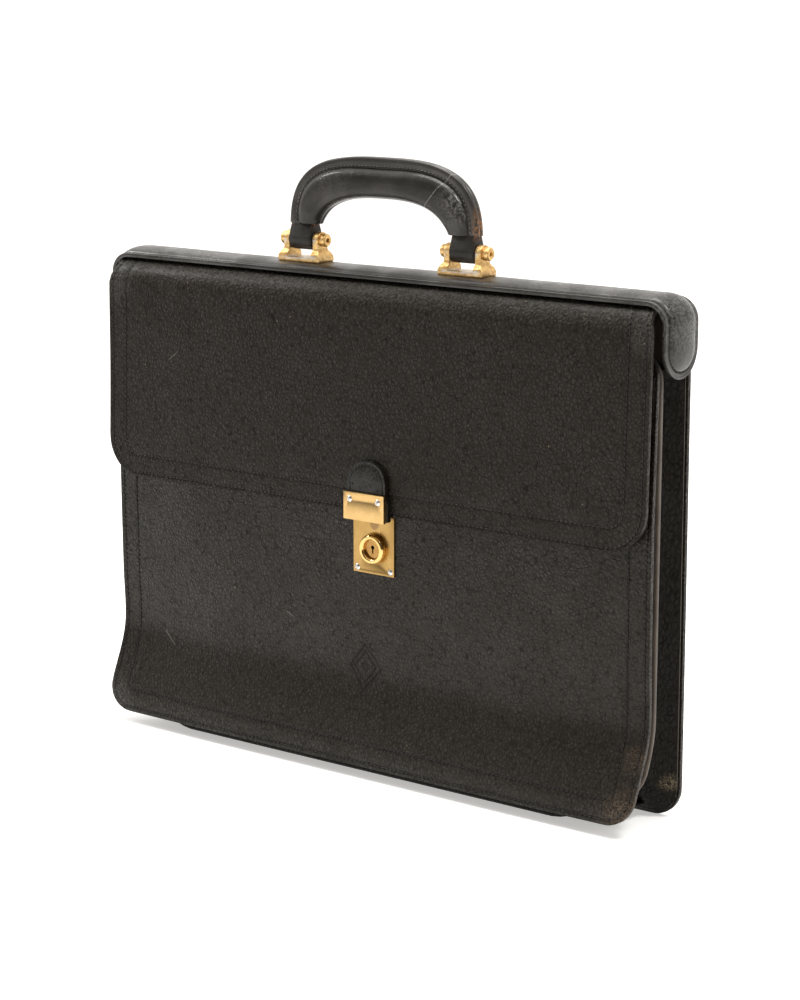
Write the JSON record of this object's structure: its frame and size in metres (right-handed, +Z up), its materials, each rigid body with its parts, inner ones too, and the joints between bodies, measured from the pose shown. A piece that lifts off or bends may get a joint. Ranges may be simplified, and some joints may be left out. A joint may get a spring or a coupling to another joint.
{
  "type": "flap briefcase",
  "caption": "Grained-leather flap briefcase with a padded top bar, swinging handle, hasp tab and keyed push lock over two gusseted compartments.",
  "frame": {"origin": "on the floor, under the middle of the bag's footprint", "axes": "+X across the width to the side with the pivot bolts' heads, -Y the side with the flap and lock, +Z up"},
  "size_m": [0.4164, 0.0568, 0.3712],
  "materials": {
    "grained_leather": "pebble-grained black, satin",
    "smooth_leather": "fine-grained black, worn grey sheen",
    "handle_leather": "polished by hand, orange-brown raw edges",
    "suede_lining": "suede",
    "stiffener_board": "bonded fibre board",
    "brushed_brass": "brushed, lightly tarnished",
    "polished_brass": "polished",
    "cast_brass": "cast and gilt, worn pale on the edges",
    "steel": "nickel-plated"
  },
  "bodies": {
    "case": {"back_panel": "grained_leather", "back_board": "stiffener_board", "back_lining": "suede_lining", "bottom_leather": "grained_leather", "bottom_board": "stiffener_board", "bar_core": "steel", "bar_cover": "smooth_leather", "flap_tail": "grained_leather", "handle_brackets": "cast_brass", "bracket_screws": "steel", "pivot_bolts": "cast_brass", "pivot_caps": "cast_brass", "rear_gusset": "grained_leather"},
    "handle": {"handle_core": "handle_leather", "handle_front_pad": "handle_leather", "handle_rear_pad": "handle_leather", "handle_ends": "handle_leather", "handle_bushes": "cast_brass"},
    "flap": {"flap_leather": "grained_leather", "flap_board": "stiffener_board", "flap_lining": "suede_lining", "flap_tab": "grained_leather", "hasp_plate": "brushed_brass", "hasp_screws": "steel", "catch": "brushed_brass"},
    "front": {"front_panel": "grained_leather", "front_board": "stiffener_board", "front_lining": "suede_lining", "lock_plate": "brushed_brass", "lock_screws": "steel", "lock_ring": "polished_brass", "ring_nut": "brushed_brass", "lock_case": "steel", "latch_leaf": "steel", "button_spring": "steel"},
    "button": {"lock_button": "brushed_brass"},
    "key": {"key_plug": "brushed_brass", "key_cam": "steel"},
    "divider": {"divider_facing": "suede_lining", "divider_board": "stiffener_board", "divider_lining": "suede_lining", "front_gusset": "grained_leather"}
  },
  "joints": [
    {"name": "handle_swing", "type": "hinge", "parent": "case", "child": "handle", "pos_m": [0, 0.0076, 0.3196], "axis": [1, 0, 0], "range_deg": [-90, 65]},
    {"name": "flap_open", "type": "hinge", "parent": "case", "child": "flap", "pos_m": [0, -0.0103, 0.2912], "axis": [-1, 0, 0], "range_deg": [0, 110], "deforming": ["latch_leaf"]},
    {"name": "front_open", "type": "hinge", "parent": "case", "child": "front", "pos_m": [0, -0.0284, 0.0076], "axis": [1, 0, 0], "range_deg": [0, 5.5], "deforming": ["rear_gusset", "front_gusset"]},
    {"name": "divider_open", "type": "hinge", "parent": "case", "child": "divider", "pos_m": [0, -0.0173, 0.0196], "axis": [1, 0, 0], "range_deg": [0, 2.75]},
    {"name": "button_push", "type": "slide", "parent": "front", "child": "button", "axis": [0, 1, 0], "range_m": [0, 0.0016], "stiffness_N_per_m": 600, "deforming": ["button_spring"]},
    {"name": "key_turn", "type": "hinge", "parent": "button", "child": "key", "pos_m": [0.01, -0.0173, 0.1409], "axis": [0, -1, 0], "range_deg": [0, 90]}
  ],
  "couplings": [
    {"joint": "front_open", "follows": "flap_open", "ratio": 0.05},
    {"joint": "divider_open", "follows": "flap_open", "ratio": 0.025}
  ]
}
